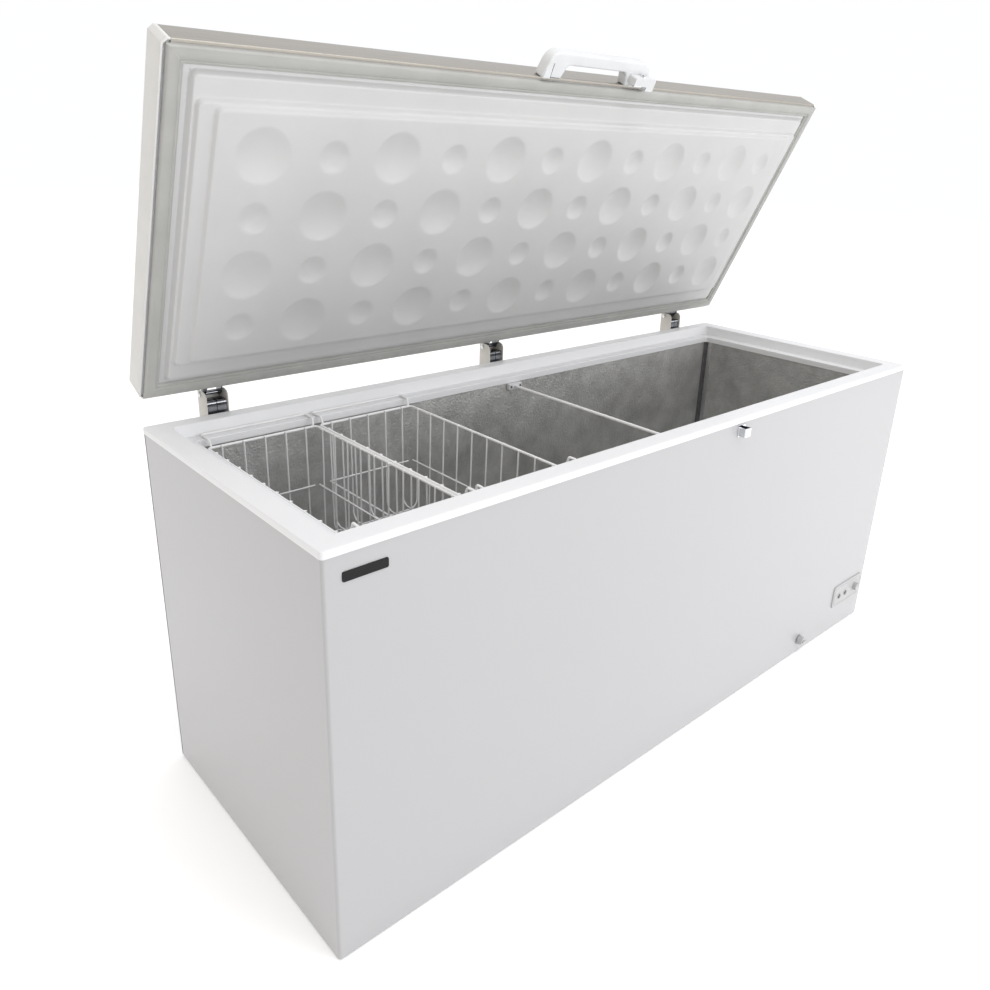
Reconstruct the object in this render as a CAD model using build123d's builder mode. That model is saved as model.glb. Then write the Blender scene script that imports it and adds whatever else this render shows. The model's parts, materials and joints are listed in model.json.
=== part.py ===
from build123d import *
import math
import os

os.makedirs("parts", exist_ok=True)

# ---------------------------------------------------------------- sizes, mm
# X runs along the cabinet to the right, Y to the back, Z up.
# The origin is on the floor, under the middle of the cabinet.
BX, BY = 948.0, 346.0           # half sizes over the painted sheet
RIM_TOP, RIM_LOW = 810.4, 797.5
LEDGE = 783.0                   # basket ledge inside the rim
LIP = 767.0                     # lower edge of the rim, where the tank starts
TX, TY = 872.0, 282.0           # half sizes inside the tank
TANK_FLOOR = 62.0
STEP_X, STEP_TOP = 560.0, 300.0 # hump over the machine compartment
BAY_X, BAY_TOP = 620.0, 238.0   # machine compartment

HINGE_Y, HINGE_Z = 382.0, 847.0
LID_OPEN = 65.4                 # degrees, as drawn
LF, LR = -349.6, 347.9          # lid front and rear faces when closed
LZ, LT = 821.8, 54.0            # lid lower edge and thickness when closed
HINGES = (-788.0, 0.0, 788.0)

LOCK_X = 126.0


def out(part, name):
    part.label = name
    export_step(part, f"parts/{name}.step")


def opened(part):
    """Turns a piece drawn with the lid closed about the hinge pin."""
    return part.rotate(Axis((0, HINGE_Y, HINGE_Z), (1, 0, 0)), -LID_OPEN)


def block(x0, x1, y0, y1, z0, z1, mode=Mode.ADD):
    with Locations(((x0 + x1) / 2, (y0 + y1) / 2, (z0 + z1) / 2)):
        Box(abs(x1 - x0), abs(y1 - y0), abs(z1 - z0), mode=mode)


def prism(x0, x1, y0, y1, z0, z1, r=0.0, mode=Mode.ADD):
    """An upright box with rounded vertical edges."""
    with BuildSketch(Plane.XY.offset(z0)) as base:
        with Locations(((x0 + x1) / 2, (y0 + y1) / 2)):
            if r > 0:
                RectangleRounded(x1 - x0, y1 - y0, r)
            else:
                Rectangle(x1 - x0, y1 - y0)
    extrude(base.sketch, amount=z1 - z0, mode=mode)


def grow(r, g):
    """A rectangle (x0, x1, y0, y1) made larger by g all round."""
    return (r[0] - g, r[1] + g, r[2] - g, r[3] + g)


def hopper(top, inset, z_top, z_low, mode=Mode.ADD):
    """A solid from the rectangle (x0, x1, y0, y1) at z_top down to one smaller all round."""
    x0, x1, y0, y1 = top
    down = Plane(origin=(0, 0, z_top), x_dir=(1, 0, 0), z_dir=(0, 0, -1))
    with BuildSketch(down) as base:
        with Locations(((x0 + x1) / 2, -(y0 + y1) / 2)):
            Rectangle(x1 - x0, y1 - y0)
    height = z_top - z_low
    extrude(base.sketch, amount=height, taper=math.degrees(math.atan2(inset, height)), mode=mode)


def rod(a, b, d, mode=Mode.ADD):
    """A round bar, or a hole, between two points."""
    a, b = Vector(*a), Vector(*b)
    with Locations(Plane(origin=a, z_dir=b - a)):
        Cylinder(d / 2, (b - a).length, align=(Align.CENTER, Align.CENTER, Align.MIN), mode=mode)


def wire(points, d, r=None, mode=Mode.ADD):
    """A round wire through the points, with rounded bends."""
    pts = [Vector(*p) for p in points]
    with BuildLine() as path:
        if r and len(pts) > 2:
            FilletPolyline(*pts, radius=r)
        else:
            Polyline(*pts)
    with BuildSketch(Plane(origin=pts[0], z_dir=pts[1] - pts[0])) as section:
        Circle(d / 2)
    sweep(section.sketch, path=path.line, mode=mode)


# ================================================================ cabinet
# ---- outer wrapper: one painted sheet folded round the front and both ends
PX0, PX1, PZ0, PZ1 = 764.0, 930.0, 78.0, 150.0        # control panel
GY, GZ0, GZ1 = 210.0, 50.0, 214.0                     # end grille half width, heights
SUMP_X, SUMP_Y = 500.0, -200.0                        # drain hole in the tank floor
DRAIN_X, DRAIN_Z = 590.0, 42.0                        # drain outlet in the front
SHEET = 0.8
CX, CY = 780.0, 0.0                                   # compressor
MOUNTS = [(CX + px, CY + py) for px in (-50, 50) for py in (-70, 70)]

with BuildPart() as wrapper:
    prism(-BX, BX, -BY, BY, 3, 807.8, 6)
    prism(-BX + SHEET, BX - SHEET, -BY + SHEET, BY + 20, 0, 820, 5.2, mode=Mode.SUBTRACT)
    block(-BX - 5, BX + 5, BY - SHEET, BY + 30, 0, 820, mode=Mode.SUBTRACT)
    # cut-outs for the control panel, the drain and the end grille
    block(PX0 + 8, PX1 - 8, -BY - 5, -BY + 5, PZ0 + 8, PZ1 - 8, mode=Mode.SUBTRACT)
    rod((DRAIN_X, -BY - 5, DRAIN_Z), (DRAIN_X, -BY + 5, DRAIN_Z), 20, mode=Mode.SUBTRACT)
    block(BX - 5, BX + 5, -GY + 10, GY - 10, GZ0 + 10, GZ1 - 10, mode=Mode.SUBTRACT)
out(wrapper.part, "outer_wrapper")

with BuildPart() as rear:
    block(-BX, BX, BY - SHEET, BY, 3, 797.5)
    block(640, 930, BY - 5, BY + 5, 24, 226, mode=Mode.SUBTRACT)
out(rear.part, "rear_panel")

# ---- base pan with turned-up flanges, and five pads under it
FEET = [(sx * 880.0, sy * 290.0) for sx in (-1, 1) for sy in (-1, 1)] + [(0.0, 0.0)]
with BuildPart() as pan:
    prism(-BX + 1, BX - 1, -BY + 1, BY - 1, 8, 9.5, 5)
    for s in (-1, 1):
        block(-BX + 8, BX - 8, s * (BY - 2.5), s * (BY - 1), 8, 24)
        block(s * (BX - 2.5), s * (BX - 1), -BY + 8, BY - 8, 8, 24)
    for fx, fy in FEET:
        rod((fx, fy, 0), (fx, fy, 30), 10, mode=Mode.SUBTRACT)
    for cx, cy in MOUNTS:
        rod((cx, cy, 0), (cx, cy, 30), 9, mode=Mode.SUBTRACT)
out(pan.part, "base_pan")

with BuildPart() as feet:
    for fx, fy in FEET:
        with Locations((fx, fy, 4)):
            Cylinder(22, 8)
        with Locations((fx, fy, 12)):
            Cylinder(4.9, 8)
out(feet.part, "feet")

# ---- inner tank: embossed aluminium, floor raised at the right end
T = 1.0


def around_tank(gap, z0, z1, r, mode=Mode.ADD):
    """An upright box with its sides gap outside the tank's outer faces."""
    x, y = TX + T + gap, TY + T + gap
    prism(-x, x, -y, y, z0, z1, r, mode=mode)


with BuildPart() as tank:
    around_tank(0, TANK_FLOOR - T, LIP - 0.2, 11)
    prism(-TX, TX, -TY, TY, TANK_FLOOR, LIP + 5, 10, mode=Mode.SUBTRACT)
    block(STEP_X, TX - 10, -TY - 0.5, TY + 0.5, TANK_FLOOR - T, STEP_TOP)
    block(STEP_X, TX + 0.5, -TY + 10, TY - 10, TANK_FLOOR - T, STEP_TOP)
    for s in (-1, 1):
        rod((TX - 10, s * (TY - 10), TANK_FLOOR), (TX - 10, s * (TY - 10), STEP_TOP), 21)
    block(STEP_X + T, TX + 20, -TY - 20, TY + 20, TANK_FLOOR - 10, STEP_TOP - T, mode=Mode.SUBTRACT)
    rod((SUMP_X, SUMP_Y, 50), (SUMP_X, SUMP_Y, 70), 22, mode=Mode.SUBTRACT)
out(tank.part, "inner_tank")

# ---- plastic rim: outer flat, inner wall, basket ledge and lip, moulded in one
THROAT = (-905.0, 905.0, -303.0, 312.0)          # opening between the flats
THROAT_DRAFT = 4.0
IN = (-870.0, 870.0, -280.0, 280.0)              # opening inside the ledge
RIM_T = 2.5

with BuildPart() as rim:
    prism(-950, 950, -348, 348, RIM_LOW, RIM_TOP, 7)
    fillet(rim.edges().group_by(Axis.Z)[-1], 2.5)
    prism(-948, 948, -346, 346, RIM_LOW - 1, RIM_TOP - RIM_T, 6, mode=Mode.SUBTRACT)
    # inner wall, ledge and lip
    hopper(grow(THROAT, RIM_T), THROAT_DRAFT, RIM_TOP - 0.5, LEDGE - RIM_T)
    prism(*grow(IN, RIM_T), LIP, LEDGE - 1, 12)
    hopper(grow(THROAT, 0.2), THROAT_DRAFT, RIM_TOP + 1, LEDGE, mode=Mode.SUBTRACT)
    prism(*IN, LIP - 5, LEDGE + 5, 10, mode=Mode.SUBTRACT)
out(rim.part, "rim")

# ---- refrigeration tube round the tank and under the outer skin
COIL_Z = (340.0, 420.0, 500.0, 580.0, 660.0, 730.0)
COND_Z = (330.0, 430.0, 530.0, 630.0, 730.0)
COIL_T, COND_T = 8.0, 5.0
RISER_X = 700.0
with BuildPart() as evap:
    for z in COIL_Z:
        around_tank(COIL_T + 0.2, z, z + COIL_T, 19)
    block(RISER_X, RISER_X + COIL_T, TY + T + 0.2, TY + T + 0.2 + COIL_T, 250, COIL_Z[-1] + COIL_T)
    for z in COIL_Z:
        around_tank(0.2, z - 1, z + COIL_T + 1, 11.2, mode=Mode.SUBTRACT)
out(evap.part, "evaporator_coil")

with BuildPart() as cond:
    for z in COND_Z:
        prism(-BX + 1.0, BX - 1.0, -BY + 1.0, BY - 40, z, z + COND_T, 5)
        prism(-BX + 6.0, BX - 6.0, -BY + 6.0, BY + 10, z - 1, z + COND_T + 1, mode=Mode.SUBTRACT)
    block(BX - 6, BX - 1, BY - 60, BY - 55, 250, COND_Z[-1] + COND_T)
    block(-BX + 1, -BX + 6, BY - 60, BY - 55, COND_Z[0], COND_Z[-1] + COND_T)
out(cond.part, "condenser_coil")

# ---- drain: tube from the tank floor to the front, plug inside, cap outside
def drain_path(start, reach):
    """Down through the tank floor, forward and out past the front sheet."""
    drop = (SUMP_X, SUMP_Y, DRAIN_Z)
    bend = (SUMP_X, SUMP_Y - 40, DRAIN_Z)
    turn = (DRAIN_X, -300, DRAIN_Z)
    return [(SUMP_X, SUMP_Y, start), drop, bend, turn, (DRAIN_X, -BY - reach, DRAIN_Z)]


with BuildPart() as tube:
    wire(drain_path(TANK_FLOOR - 1.4, 2), 17.6, 10)
    wire(drain_path(TANK_FLOOR + 3, 12), 14.4, 10, mode=Mode.SUBTRACT)
out(tube.part, "drain_tube")

# ---- foam between the tank and the sheet, hollow round the machine
with BuildPart() as foam:
    prism(-BX + 1.0, BX - 1.0, -BY + 1.0, BY - 1.0, 24.5, 795.0, 5)
    around_tank(0.1, TANK_FLOOR - T - 0.1, 820, 11.1, mode=Mode.SUBTRACT)
    block(STEP_X + T + 0.1, TX + 3, -TY - 3, TY + 3, TANK_FLOOR - 3, STEP_TOP - T - 0.1)
    # room for the machine, its grille and its covers
    block(BAY_X, BX + 5, -BY - 5, BY + 5, 0, BAY_TOP, mode=Mode.SUBTRACT)
    # room for the rim's wall and ledge
    prism(*grow(THROAT, RIM_T + 0.1), LEDGE - RIM_T - 0.1, 820, mode=Mode.SUBTRACT)
    # tubes
    for z in COIL_Z:
        around_tank(COIL_T + 0.3, z - 0.1, z + COIL_T + 0.1, 19, mode=Mode.SUBTRACT)
    riser = (RISER_X - 0.1, RISER_X + COIL_T + 0.1, TY, TY + T + COIL_T + 0.3)
    block(*riser, 200, COIL_Z[-1] + COIL_T + 0.1, mode=Mode.SUBTRACT)
    for z in COND_Z:
        y0, y1 = -BY, BY - 39.9
        block(-BX, BX, y0, y0 + 6.1, z - 0.1, z + COND_T + 0.1, mode=Mode.SUBTRACT)
        block(-BX, -BX + 6.1, y0, y1, z - 0.1, z + COND_T + 0.1, mode=Mode.SUBTRACT)
        block(BX - 6.1, BX, y0, y1, z - 0.1, z + COND_T + 0.1, mode=Mode.SUBTRACT)
    high = COND_Z[-1] + COND_T + 0.1
    block(BX - 6.1, BX, BY - 60.1, BY - 54.9, 200, high, mode=Mode.SUBTRACT)
    block(-BX, -BX + 6.1, BY - 60.1, BY - 54.9, COND_Z[0] - 0.1, high, mode=Mode.SUBTRACT)
    wire(drain_path(75, 2), 18.0, 10, mode=Mode.SUBTRACT)
out(foam.part, "cabinet_foam")

with BuildPart() as plug:
    with Locations((SUMP_X, SUMP_Y, TANK_FLOOR + 1.75)):
        Cylinder(17, 3.3)
    with Locations((SUMP_X, SUMP_Y, TANK_FLOOR - 4)):
        Cylinder(6.8, 9)
    with Locations((SUMP_X, SUMP_Y, TANK_FLOOR + 6)):
        Box(20, 4, 6)
out(plug.part, "drain_plug")

with BuildPart() as cap:
    rod((DRAIN_X, -BY - 12, DRAIN_Z), (DRAIN_X, -BY - 2.2, DRAIN_Z), 28)
    rod((DRAIN_X, -BY - 16, DRAIN_Z), (DRAIN_X, -BY - 11, DRAIN_Z), 22)
    rod((DRAIN_X, -BY - 6, DRAIN_Z), (DRAIN_X, -BY + 14, DRAIN_Z), 13.6)
    block(DRAIN_X - 8, DRAIN_X + 8, -BY - 20, -BY - 15, DRAIN_Z - 2, DRAIN_Z + 2)
out(cap.part, "drain_cap")

# ---- control panel at the right foot of the front
LAMPS = (798.0, 835.0)
LAMP_Z = 111.0
KNOB_X, KNOB_Z = 893.0, 114.0
with BuildPart() as panel:
    with BuildSketch(Plane(origin=(0, -BY, 0), x_dir=(1, 0, 0), z_dir=(0, -1, 0))):
        with Locations(((PX0 + PX1) / 2, (PZ0 + PZ1) / 2)):
            RectangleRounded(PX1 - PX0, PZ1 - PZ0, 12)
    extrude(amount=4)
    fillet(panel.edges().group_by(Axis.Y)[0], 2)
    block(PX0 + 9, PX1 - 9, -BY, -BY + 10, PZ0 + 9, PZ1 - 9)
    block(PX0 + 11, PX1 - 11, -BY - 2, -BY + 11, PZ0 + 11, PZ1 - 11, mode=Mode.SUBTRACT)
    for lx in LAMPS:
        rod((lx, -BY - 10, LAMP_Z), (lx, -BY + 1, LAMP_Z), 11, mode=Mode.SUBTRACT)
    rod((KNOB_X, -BY - 10, KNOB_Z), (KNOB_X, -BY + 1, KNOB_Z), 8, mode=Mode.SUBTRACT)
out(panel.part, "control_panel")

for name, lx in zip(("lamp_power", "lamp_run"), LAMPS):
    with BuildPart() as lamp:
        rod((lx, -BY - 5.0, LAMP_Z), (lx, -BY + 9, LAMP_Z), 10.8)
        rod((lx, -BY - 6.5, LAMP_Z), (lx, -BY - 4.05, LAMP_Z), 14)
        fillet(lamp.edges().group_by(Axis.Y)[0], 1.5)
    out(lamp.part, name)

with BuildPart() as therm:
    block(KNOB_X - 20, KNOB_X + 20, -BY + 1, -BY + 34, KNOB_Z - 14, KNOB_Z + 14)
    rod((KNOB_X, -BY - 9, KNOB_Z), (KNOB_X, -BY + 2, KNOB_Z), 6)
out(therm.part, "thermostat")

with BuildPart() as knob:
    rod((KNOB_X, -BY - 15, KNOB_Z), (KNOB_X, -BY - 4.3, KNOB_Z), 24)
    fillet(knob.edges().group_by(Axis.Y)[0], 1.5)
    block(KNOB_X - 0.9, KNOB_X + 0.9, -BY - 16, -BY - 14, KNOB_Z + 2, KNOB_Z + 13, mode=Mode.SUBTRACT)
    rod((KNOB_X, -BY - 9.5, KNOB_Z), (KNOB_X, -BY, KNOB_Z), 6.3, mode=Mode.SUBTRACT)
out(knob.part, "thermostat_knob")

# ---- badge: a blank rounded plate
with BuildPart() as badge:
    with BuildSketch(Plane(origin=(0, -BY, 0), x_dir=(1, 0, 0), z_dir=(0, -1, 0))):
        with Locations((-873.4, 758.5)):
            RectangleRounded(82.7, 17, 3)
    extrude(amount=1.8)
out(badge.part, "badge_plate")

# ---- end grille over the machine compartment, with level slots
with BuildPart() as grille:
    block(BX, BX + 3, -GY, GY, GZ0, GZ1)
    fillet(grille.edges().filter_by(Axis.X), 8)
    block(BX - 4, BX + 1, -GY + 11, GY - 11, GZ0 + 11, GZ1 - 11)
    for i in range(9):
        z = GZ0 + 25 + i * 14.5
        for y in (-140.0, 0.0, 140.0):
            block(BX - 6, BX + 6, y - 52, y + 52, z - 3, z + 3, mode=Mode.SUBTRACT)
out(grille.part, "side_grille")

GLAND_X, GLAND_Z = 665.0, 212.0
with BuildPart() as cover:
    block(630, 940, BY, BY + 2, 14, 236)
    fillet(cover.edges().filter_by(Axis.Y), 6)
    for i in range(8):
        z = 60 + i * 18
        for x in (710.0, 860.0):
            block(x - 50, x + 50, BY - 5, BY + 5, z - 3.5, z + 3.5, mode=Mode.SUBTRACT)
    rod((GLAND_X, BY - 5, GLAND_Z), (GLAND_X, BY + 5, GLAND_Z), 16.2, mode=Mode.SUBTRACT)
out(cover.part, "rear_cover")

# closed rubber gland, recessed where a cord would be pushed through
with BuildPart() as gland:
    rod((GLAND_X, BY - 8, GLAND_Z), (GLAND_X, BY + 2.1, GLAND_Z), 16)
    rod((GLAND_X, BY + 2.1, GLAND_Z), (GLAND_X, BY + 12, GLAND_Z), 21)
    rod((GLAND_X, BY + 9, GLAND_Z), (GLAND_X, BY + 14, GLAND_Z), 8.5, mode=Mode.SUBTRACT)
out(gland.part, "cable_gland")

# ---- machine: compressor on its plate, drier, suction line
with BuildPart() as plate:
    prism(CX - 90, CX + 90, -105, 105, 9.7, 12.2, 8)
    for fx, fy in MOUNTS:
        rod((fx, fy, 0), (fx, fy, 20), 9, mode=Mode.SUBTRACT)
out(plate.part, "compressor_plate")

with BuildPart() as gromm:
    for fx, fy in MOUNTS:
        with Locations((fx, fy, 21.2)):
            Cylinder(11, 17.8)
        with Locations((fx, fy, 13)):
            Cylinder(4.2, 12)
out(gromm.part, "compressor_grommets")

with BuildPart() as comp:
    with Locations((CX, CY, 100)):
        Cylinder(72, 80)
    with Locations((CX, CY, 140)):
        Cylinder(72, 44)
    fillet(comp.edges().filter_by(GeomType.CIRCLE).group_by(Axis.Z)[-1], 34)
    fillet(comp.edges().filter_by(GeomType.CIRCLE).group_by(Axis.Z)[0], 24)
    block(CX - 65, CX + 65, CY - 84, CY - 56, 30.2, 33.2)
    block(CX - 65, CX + 65, CY + 56, CY + 84, 30.2, 33.2)
    block(CX - 40, CX - 34, CY - 62, CY + 62, 30.2, 64)
    block(CX + 34, CX + 40, CY - 62, CY + 62, 30.2, 64)
    block(CX - 40, CX + 40, CY - 84, CY + 84, 30.2, 33.2)
out(comp.part, "compressor")

with BuildPart() as relay:
    block(CX - 28, CX + 28, CY - 112, CY - 73, 72, 132)
    fillet(relay.edges().group_by(Axis.Y)[0], 5)
    rod((CX, CY, 60), (CX, CY, 140), 146, mode=Mode.SUBTRACT)
out(relay.part, "relay_cover")

DRIER_X = 708.0
with BuildPart() as drier:
    wire([(DRIER_X, 180, 120), (DRIER_X, 230, 140)], 18)
    wire([(DRIER_X, 172, 117), (DRIER_X, 238, 143)], 6)
out(drier.part, "filter_drier")

with BuildPart() as suction:
    rise = [(715, 210, 150), (715, 278, 180), (715, 278, 236)]
    wire([(CX - 30, 78, 90), (CX - 30, 150, 90), *rise], 8, 18)
out(suction.part, "suction_line")

# ---- lock keeper on the front, just under the rim
with BuildPart() as keeper:
    block(LOCK_X - 14, LOCK_X + 14, -BY - 1.5, -BY, 764, 792)
    block(LOCK_X - 12, LOCK_X + 12, -BY - 20, -BY, 768, 788)
    fillet(keeper.edges().filter_by(Axis.Z).group_by(Axis.Y)[0], 4)
    block(LOCK_X - 9, LOCK_X + 9, -BY - 17, -BY - 1.5, 760, 800, mode=Mode.SUBTRACT)
out(keeper.part, "lock_keeper")

# ---- tie rod across the middle of the tank, held in two brackets
ROD_Z = 757.5
with BuildPart() as brackets:
    for s in (-1, 1):
        prism(-23, 23, min(s * 270, s * TY), max(s * 270, s * TY), 750, 765, 3)
        for x in (-16.0, 16.0):
            rod((x, s * 265, ROD_Z), (x, s * 283, ROD_Z), 3.6, mode=Mode.SUBTRACT)
            rod((x, s * 269.9, ROD_Z), (x, s * 272, ROD_Z), 7.2, mode=Mode.SUBTRACT)
        rod((0, s * 266, ROD_Z), (0, s * 277, ROD_Z), 8.1, mode=Mode.SUBTRACT)
out(brackets.part, "rod_brackets")

with BuildPart() as screws:
    for s in (-1, 1):
        for x in (-16.0, 16.0):
            rod((x, s * 270.2, ROD_Z), (x, s * 272, ROD_Z), 7)
            rod((x, s * 271.5, ROD_Z), (x, s * 281.9, ROD_Z), 3.4)
out(screws.part, "bracket_screws")

with BuildPart() as tie:
    rod((0, -276.8, ROD_Z), (0, 276.8, ROD_Z), 8)
out(tie.part, "tie_rod")

# ================================================================ hinges
SP_LO, CAP_LO, CAP_HI = 700.0, 805.0, 835.0
BRACKET_SCREW_Z = (675.0, 720.0, 775.0)


def bracket_at(x):
    with BuildPart() as p:
        for s in (-1, 1):
            a, b = x + s * 22.5, x + s * 25.0
            block(a, b, BY + 0.1, 394, 660, 795)
            block(a, b, 352, 394, 795, 856)
            block(b - s * 0.1, x + s * 41, BY + 0.1, BY + 2.5, 660, 790)
        block(x - 22.5, x + 22.5, 391.5, 394, 660, 850)
        block(x - 22.5, x + 22.5, BY + 2.5, 391.5, SP_LO - 4, SP_LO - 0.1)
        rod((x - 30, HINGE_Y, HINGE_Z), (x + 30, HINGE_Y, HINGE_Z), 8.2, mode=Mode.SUBTRACT)
        for s in (-1, 1):
            for z in BRACKET_SCREW_Z:
                rod((x + s * 33, BY - 5, z), (x + s * 33, BY + 5, z), 5, mode=Mode.SUBTRACT)
    return p.part


def cap_at(x):
    with BuildPart() as p:
        block(x - 21, x + 21, 356, 388, CAP_LO, CAP_HI)
        fillet(p.edges().filter_by(Axis.X).group_by(Axis.Z)[-1], 5)
        block(x - 1.2, x + 1.2, 355, 357, CAP_LO - 1, CAP_HI + 1, mode=Mode.SUBTRACT)
    return p.part


def spring_at(x):
    with BuildPart() as p:
        with BuildLine() as path:
            Helix(pitch=8.6, height=100.4, radius=12.5, center=(x, 372, SP_LO + 2.0))
        with BuildSketch(Plane(origin=path.line @ 0, z_dir=path.line % 0)):
            Circle(1.8)
        sweep(is_frenet=True)
    return p.part


def arm_at(x):
    """Drawn with the lid closed: base on the lid's rear face, two ears, a pin."""
    with BuildPart() as p:
        block(x - 18, x + 18, LR + 0.1, LR + 2.6, 828, 871)
        for s in (-1, 1):
            with BuildSketch(Plane(origin=(x + s * 16.75, 0, 0), x_dir=(0, 1, 0), z_dir=(1, 0, 0))):
                with BuildLine():
                    nose = [(HINGE_Y + 3, HINGE_Z + 7.2), (HINGE_Y, HINGE_Z - 7.8)]
                    Polyline((LR + 1, 871), (LR + 6, 871), *nose, (LR + 1, 834), close=True)
                make_face()
                with Locations((HINGE_Y, HINGE_Z)):
                    Circle(7.8)
            extrude(amount=1.25, both=True)
        rod((x - 26, HINGE_Y, HINGE_Z), (x + 26, HINGE_Y, HINGE_Z), 8)
    return p.part


for name, hx in zip(("left", "mid", "right"), HINGES):
    out(bracket_at(hx), f"hinge_bracket_{name}")
    out(cap_at(hx), f"hinge_cap_{name}")
    out(spring_at(hx), f"hinge_spring_{name}")
    out(opened(arm_at(hx)), f"hinge_arm_{name}")

with BuildPart() as hs:
    for hx in HINGES:
        for s in (-1, 1):
            for z in BRACKET_SCREW_Z:
                rod((hx + s * 33, BY + 0.1, z), (hx + s * 33, BY + 3, z), 4.8)
                rod((hx + s * 33, BY + 2.6, z), (hx + s * 33, BY + 5.4, z), 9)
out(hs.part, "hinge_screws")

# ================================================================ lid (drawn closed)
EX = 935.0                       # skin ends, the end profiles start
TOP = LZ + LT
SKIN_ROUND = 5.0


def lid_core(half_length, inset, low):
    """The lid's thickness, shrunk by inset, with its two long top edges rounded."""
    with BuildPart() as body:
        block(-half_length, half_length, LF + inset, LR - inset, low, TOP - inset)
        fillet(body.edges().filter_by(Axis.X).group_by(Axis.Z)[-1], SKIN_ROUND - inset)
    return body.part


with BuildPart() as skin:
    add(lid_core(EX, 0, LZ))
    add(lid_core(EX + 1, SHEET, LZ - 1), mode=Mode.SUBTRACT)
    # returned hems under the front and rear edges
    block(-EX, EX, LF + SHEET / 2, LF + 6, LZ, LZ + SHEET)
    block(-EX, EX, LR - 6, LR - SHEET / 2, LZ, LZ + SHEET)
    for hx in HINGES:
        for z in (840, 862):
            rod((hx, LR - 3, z), (hx, LR + 3, z), 4, mode=Mode.SUBTRACT)
out(opened(skin.part), "lid_skin")


def end_cap(s):
    """An end profile with a chamfer down each outer corner."""
    chamfer = [(941, LF), (950, LF + 9), (950, LR - 9), (941, LR)]
    outline = [(EX + 0.1, LF), *chamfer, (EX + 0.1, LR)]
    with BuildPart() as p:
        with BuildSketch(Plane.XY.offset(LZ)):
            with BuildLine():
                Polyline([(s * x, y) for x, y in outline], close=True)
            make_face()
        extrude(amount=LT)
        top_edges = p.edges().group_by(Axis.Z)[-1]
        fillet(top_edges.filter_by(lambda e: abs(e.center().X) > EX + 2), 3)
        # hollow from the inside, filled by the foam
        block(s * (EX - 1), s * 946, LF + 12, LR - 12, LZ + 3, TOP - 3, mode=Mode.SUBTRACT)
    return p.part


out(opened(end_cap(-1)), "lid_end_left")
out(opened(end_cap(1)), "lid_end_right")

# liner levels below the lid's lower edge: rectangle, bevel width, depth
LEVELS = (
    ((-906.0, 906.0, -309.0, 307.0), 8.0, 10.0),
    ((-896.0, 896.0, -268.0, 266.0), 6.0, 18.0),
    ((-866.0, 866.0, -259.5, 257.5), 6.0, 25.0),
)
Z2 = LZ - LEVELS[-1][2]
LINER_T = 2.0


def plug_body(g, top, mode=Mode.ADD):
    """The stepped plug, shrunk by g on all faces."""
    above = LZ
    for outline, bevel, depth in LEVELS:
        hopper(grow(outline, -g), bevel, above + g, LZ - depth + g, mode=mode)
        above = LZ - depth
    if top > LZ:
        prism(*grow(LEVELS[0][0], -g), LZ, top, mode=mode)


PITCH_X, PITCH_Y, FIRST_ROW = 140.6, 119.0, 168.0
BIG, SMALL = (104.0, 9.0), (62.0, 6.0)          # width and depth of a hollow


def dimples(extra, base, mode):
    """Domes of the round hollows, alternating large and small, cut flat at a height."""
    for j in range(4):
        for i in range(12):
            d, h = BIG if (i + j) % 2 else SMALL
            r = (d * d / 4 + h * h) / (2 * h)
            centre = Z2 + h - r
            start = math.degrees(math.asin((base - centre) / (r + extra)))
            with Locations(((i - 5.5) * PITCH_X, LR - FIRST_ROW - j * PITCH_Y, base)):
                Sphere(r + extra, start, 90, 360, align=(Align.CENTER, Align.CENTER, Align.MIN), mode=mode)


with BuildPart() as liner:
    block(-EX, EX, LF + 6.1, LR - 6.1, LZ, LZ + LINER_T)
    plug_body(0, 0)
    plug_body(LINER_T, LZ + LINER_T + 1, mode=Mode.SUBTRACT)
    dimples(LINER_T, Z2 + LINER_T - 0.5, Mode.ADD)
    dimples(0, Z2 - 0.5, Mode.SUBTRACT)
out(opened(liner.part), "lid_liner")

with BuildPart() as lfoam:
    add(lid_core(EX - 0.1, SHEET + 0.1, LZ + LINER_T + 0.1))
    block(-945.9, 945.9, LF + 12.1, LR - 12.1, LZ + 3.1, TOP - 3.1)
    plug_body(LINER_T + 0.1, LZ + LINER_T + 1)
    dimples(LINER_T + 0.1, Z2, Mode.SUBTRACT)
out(opened(lfoam.part), "lid_foam")

with BuildPart() as gasket:
    prism(-943, 943, LF + 7, LR - 7, LZ - 10.8, LZ - 0.1, 3)
    prism(-914, 914, LF + 36, LR - 36, LZ - 20, LZ + 5, 2, mode=Mode.SUBTRACT)
    fillet(gasket.edges().group_by(Axis.Z)[0], 4)
out(opened(gasket.part), "lid_gasket")

# ---- handle: bridge grip, lock housing under its right end
HX0, HX1, HY = -172.0, 164.0, -404.0
WX0, WX1, WY = -118.0, 88.0, HY + 25        # window at the lid, and the grip's inner face
with BuildPart() as handle:
    with BuildSketch(Plane.XY.offset(LZ - 9)):
        with BuildLine():
            FilletPolyline((HX0, LF - 0.1), (HX0 + 14, HY), (HX1 - 14, HY), (HX1, LF - 0.1), radius=22)
            Line((HX1, LF - 0.1), (HX0, LF - 0.1))
        make_face()
        with BuildLine():
            FilletPolyline((WX0, LF), (WX0 + 12, WY), (WX1 - 10, WY), (WX1, LF), radius=12)
            Line((WX1, LF), (WX0, LF))
        make_face(mode=Mode.SUBTRACT)
    extrude(amount=27)
    fillet(handle.edges().group_by(Axis.Z)[0], 4)
    fillet(handle.edges().group_by(Axis.Z)[-1], 4)
    block(HX0 - 5, HX1 + 5, LF - 0.1, LF + 8, LZ - 12, LZ + 30, mode=Mode.SUBTRACT)
out(opened(handle.part), "lid_handle")

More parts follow.
